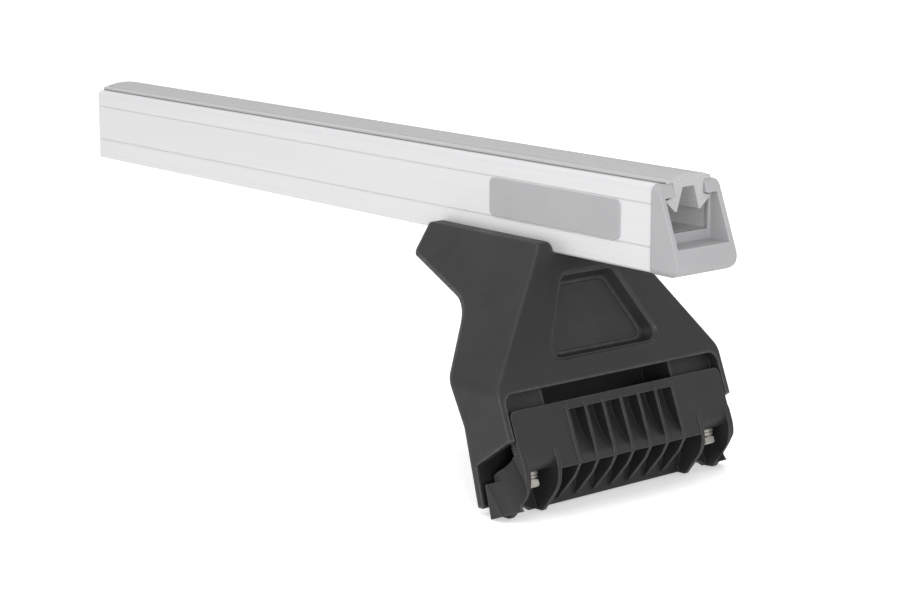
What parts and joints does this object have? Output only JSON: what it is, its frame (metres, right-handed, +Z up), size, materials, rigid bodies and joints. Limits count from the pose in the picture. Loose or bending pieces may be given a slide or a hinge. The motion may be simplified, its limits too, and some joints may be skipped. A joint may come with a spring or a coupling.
{
  "type": "roof rack",
  "caption": "Length of roof rack crossbar on a gutter-mount leg: aluminium bar with rubber strip and end cap, hollow nylon leg and a ribbed bolt-up clamp jaw.",
  "frame": {"origin": "middle of the sole of the leg's gutter blade", "axes": "+Z up, +X outboard along the crossbar, Y along the roof gutter"},
  "size_m": [0.4795, 0.146, 0.157],
  "materials": {
    "aluminium": "satin silver anodised extrusion",
    "strip_rubber": "matt grey extruded rubber",
    "cap_plastic": "grey moulded plastic",
    "label": "satin grey plate, bare",
    "leg_nylon": "fine-grained black glass-filled nylon",
    "badge": "satin black plate, bare",
    "jaw_nylon": "fine-grained black glass-filled nylon",
    "zinc_steel": "zinc-plated steel"
  },
  "bodies": {
    "leg": {"leg_body": "leg_nylon", "leg_badge": "badge", "left_clamp_nut": "zinc_steel", "right_clamp_nut": "zinc_steel", "outer_channel_bolt": "zinc_steel", "outer_channel_flat_washer": "zinc_steel", "outer_channel_spring_washer": "zinc_steel", "outer_channel_nut": "zinc_steel", "inner_channel_bolt": "zinc_steel", "inner_channel_flat_washer": "zinc_steel", "inner_channel_spring_washer": "zinc_steel", "inner_channel_nut": "zinc_steel"},
    "bar": {"crossbar": "aluminium", "top_strip": "strip_rubber", "end_cap": "cap_plastic", "bar_label": "label"},
    "jaw": {"clamp_jaw": "jaw_nylon", "left_clamp_flat_washer": "zinc_steel", "left_clamp_spring_washer": "zinc_steel", "right_clamp_flat_washer": "zinc_steel", "right_clamp_spring_washer": "zinc_steel"},
    "left_bolt": {"left_clamp_bolt": "zinc_steel"},
    "right_bolt": {"right_clamp_bolt": "zinc_steel"}
  },
  "joints": [
    {"name": "bar_slide", "type": "slide", "parent": "leg", "child": "bar", "axis": [1, 0, 0], "range_m": [-0.055, 0.3]},
    {"name": "jaw_slide", "type": "slide", "parent": "leg", "child": "jaw", "axis": [-0.3746, 0, 0.9272], "range_m": [-0.012, 0.006]},
    {"name": "left_bolt_turn", "type": "hinge", "parent": "jaw", "child": "left_bolt", "pos_m": [0.01414, -0.0572, 0.01369], "axis": [-0.3746, 0, 0.9272], "range_deg": [-4500, 2250]},
    {"name": "right_bolt_turn", "type": "hinge", "parent": "jaw", "child": "right_bolt", "pos_m": [0.01414, 0.0572, 0.01369], "axis": [-0.3746, 0, 0.9272], "range_deg": [-4500, 2250]}
  ],
  "couplings": [
    {"joint": "left_bolt_turn", "follows": "jaw_slide", "rad_per_m": 6283.2},
    {"joint": "right_bolt_turn", "follows": "jaw_slide", "rad_per_m": 6283.2}
  ]
}
